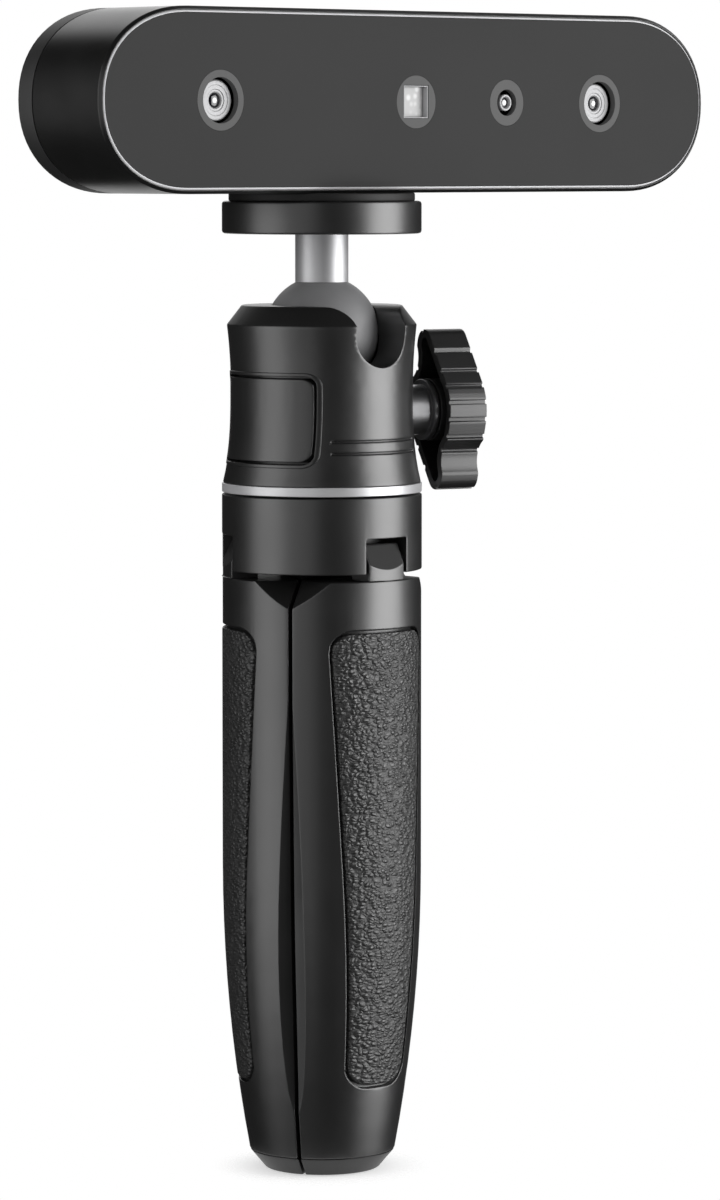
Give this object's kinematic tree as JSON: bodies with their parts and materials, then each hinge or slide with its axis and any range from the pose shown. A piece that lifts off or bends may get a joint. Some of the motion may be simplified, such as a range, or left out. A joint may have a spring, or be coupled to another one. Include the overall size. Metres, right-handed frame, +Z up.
{
  "type": "handheld three-d scanner on a mini tripod",
  "caption": "Handheld structured-light scanner bar with round front windows, screwed to a ball-head mini tripod whose legs fold together into a grip.",
  "frame": {"origin": "on the tripod axis, on the surface that the closed feet stand on", "axes": "+Z up along the tripod axis, -Y the way the scanner looks, +X to the right of the scanner's front as seen from in front"},
  "size_m": [0.1714, 0.0422, 0.2447],
  "materials": {
    "case_black": "satin black moulded case",
    "bright_trim": "bright polished trim line",
    "window_grey": "flat dark grey cover panel",
    "ring_grey": "printed mid grey ring",
    "barrel_metal": "turned light metal barrel",
    "lens_glass": "dark coated lens",
    "module_black": "black moulded block",
    "emitter_white": "pale emitter face",
    "plate_aluminium": "milled plate",
    "screw_steel": "plain steel",
    "board_green": "circuit board",
    "brass": "turned brass",
    "socket_steel": "pressed steel shell",
    "button_black": "satin black cap",
    "light_white": "clear light pipe, shown pale",
    "tripod_black": "satin black moulding with soft sheen",
    "pad_rubber": "matt black rubber",
    "stem_polished": "polished steel stem",
    "ball_grey": "satin dark grey anodised ball",
    "bright_ring": "bright ring",
    "collar_metal": "satin metal collar",
    "knob_black": "black moulded knob with edge ribs",
    "cone_black": "black moulding",
    "grip_leather": "black pebbled grip",
    "foot_black": "dark grey rubber foot"
  },
  "bodies": {
    "base": {"leg_hub": "tripod_black", "hub_cone": "cone_black", "swivel_post": "screw_steel", "swivel_washer": "screw_steel", "swivel_screw": "screw_steel", "hinge_pins": "screw_steel"},
    "front_leg": {"leg_front": "tripod_black", "grip_front": "grip_leather", "foot_front": "foot_black"},
    "right_leg": {"leg_right": "tripod_black", "grip_right": "grip_leather", "foot_right": "foot_black"},
    "left_leg": {"leg_left": "tripod_black", "grip_left": "grip_leather", "foot_left": "foot_black"},
    "head": {"ball_housing": "tripod_black", "ball_cup": "module_black", "thrust_block": "plate_aluminium", "head_base": "module_black", "neck_ring": "bright_ring", "knob_bush": "collar_metal"},
    "knob": {"clamp_knob": "knob_black", "clamp_screw": "screw_steel"},
    "release": {"release_button": "tripod_black", "latch_pin": "screw_steel"},
    "ball_body": {"ball": "ball_grey"},
    "stem": {"ball_stem": "stem_polished"},
    "scanner": {"scanner_sleeve": "case_black", "rear_cover": "case_black", "trim_ring": "bright_trim", "front_window": "window_grey", "left_camera_ring": "ring_grey", "right_camera_ring": "ring_grey", "projector_ring": "ring_grey", "color_camera_ring": "ring_grey", "left_camera_barrel": "barrel_metal", "right_camera_barrel": "barrel_metal", "color_camera_barrel": "barrel_metal", "left_camera_lens": "lens_glass", "right_camera_lens": "lens_glass", "color_camera_lens": "lens_glass", "camera_blocks": "module_black", "projector_block": "module_black", "projector_emitter": "emitter_white", "optics_plate": "plate_aluminium", "plate_screws": "screw_steel", "main_board": "board_green", "board_spacers": "brass", "usb_socket": "socket_steel", "button_switch": "module_black", "status_light": "light_white", "cover_screws": "screw_steel", "tripod_bush": "brass", "platform_disc": "tripod_black", "platform_pad": "pad_rubber", "mount_screw": "screw_steel"},
    "scan_key": {"scan_button": "button_black"}
  },
  "joints": [
    {"name": "front_leg_fold", "type": "hinge", "parent": "base", "child": "front_leg", "pos_m": [0, -0.0177, 0.1308], "axis": [-1, 0, 0], "range_deg": [0, 55]},
    {"name": "right_leg_fold", "type": "hinge", "parent": "base", "child": "right_leg", "pos_m": [0.01533, 0.00885, 0.1308], "axis": [0.5, -0.866, 0], "range_deg": [0, 55]},
    {"name": "left_leg_fold", "type": "hinge", "parent": "base", "child": "left_leg", "pos_m": [-0.01533, 0.00885, 0.1308], "axis": [0.5, 0.866, 0], "range_deg": [0, 55]},
    {"name": "head_swivel", "type": "hinge", "parent": "base", "child": "head", "pos_m": [0, 0, 0.1442], "axis": [0, 0, 1], "continuous": true},
    {"name": "ball_lean", "type": "hinge", "parent": "head", "child": "ball_body", "pos_m": [0, 0, 0.1772], "axis": [0, 1, 0], "range_deg": [-20, 20]},
    {"name": "ball_tilt", "type": "hinge", "parent": "ball_body", "child": "stem", "pos_m": [0, 0, 0.1772], "axis": [1, 0, 0], "range_deg": [-20, 90]},
    {"name": "ball_turn", "type": "hinge", "parent": "stem", "child": "scanner", "pos_m": [0, 0, 0.1982], "axis": [0, 0, 1], "continuous": true},
    {"name": "knob_turn", "type": "hinge", "parent": "head", "child": "knob", "pos_m": [0.02473, -0.00663, 0.1606], "axis": [0.9659, -0.2588, 0], "continuous": true},
    {"name": "release_push", "type": "slide", "parent": "head", "child": "release", "axis": [1, 0, 0], "range_m": [0, 0.0016], "stiffness_N_per_m": 500, "springref_m": -0.002},
    {"name": "scan_push", "type": "slide", "parent": "scanner", "child": "scan_key", "axis": [0, -1, 0], "range_m": [0, 0.0008], "stiffness_N_per_m": 900, "springref_m": -0.0008}
  ]
}
